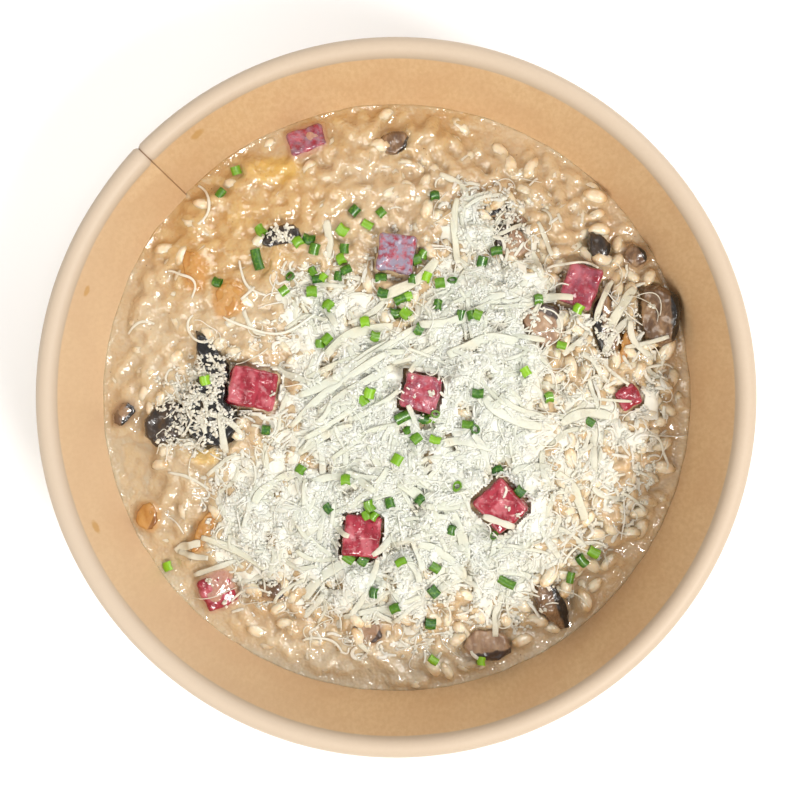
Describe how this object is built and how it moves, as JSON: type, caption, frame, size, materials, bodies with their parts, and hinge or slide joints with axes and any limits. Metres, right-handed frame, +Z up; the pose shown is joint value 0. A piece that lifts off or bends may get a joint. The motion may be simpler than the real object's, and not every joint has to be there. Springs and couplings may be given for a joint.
{
  "type": "mushroom risotto",
  "caption": "Creamy mushroom risotto with diced ham, chives and grated hard cheese, served in a round kraft paper bowl with a rolled rim.",
  "frame": {"origin": "centre of the bowl's foot, on the surface it stands on", "axes": "+Z up through the bowl's open mouth; +Y is the top of the picture and +X its right"},
  "size_m": [0.15, 0.15, 0.06],
  "materials": {
    "kraft_board": "brown paperboard with fine fibres, coated inside with a satin film",
    "cream_sauce": "thick glossy cream and butter sauce, opaque",
    "rice": "cooked short rice grains coated with glossy sauce, slightly translucent",
    "cheese": "finely grated pale hard cheese, matte and softly translucent",
    "ham": "diced cured meat, marbled pink and red, moist and glossy",
    "black_mushroom": "almost black cooked mushroom, wet and glossy",
    "brown_mushroom": "dark brown sauteed mushroom with a darker skin, moist",
    "amber_mushroom": "amber, slightly translucent cooked mushroom",
    "grey_mushroom": "grey-tan sliced mushroom flesh"
  },
  "bodies": {
    "root": {"amber_mushroom_lower": "amber_mushroom", "amber_mushroom_stem": "amber_mushroom", "amber_mushroom_upper": "amber_mushroom", "amber_mushroom_wedge": "amber_mushroom", "black_mushroom": "black_mushroom", "black_mushroom_curl": "black_mushroom", "black_mushroom_edge": "black_mushroom", "bowl_base": "kraft_board", "bowl_wall": "kraft_board", "brown_mushroom_bit": "brown_mushroom", "brown_mushroom_slice": "brown_mushroom", "brown_mushroom_sliver": "brown_mushroom", "cheese": "cheese", "dark_edged_slice": "brown_mushroom", "dark_mushroom_bit": "brown_mushroom", "gilled_slice": "grey_mushroom", "grey_mushroom_bit": "grey_mushroom", "grey_mushroom_slice": "grey_mushroom", "ham_cube_centre": "ham", "ham_cube_front": "ham", "ham_cube_hidden": "ham", "ham_cube_left": "ham", "ham_cube_lower": "ham", "ham_cube_pool": "ham", "ham_cube_right": "ham", "ham_cube_top": "ham", "ham_cube_wall": "ham", "leaning_mushroom": "brown_mushroom", "orange_mushroom_strip": "amber_mushroom", "rice": "rice", "rim_mushroom_left": "brown_mushroom", "sauce": "cream_sauce", "tan_mushroom_slice": "grey_mushroom", "wall_mushroom_bit": "brown_mushroom"}
  },
  "joints": []
}
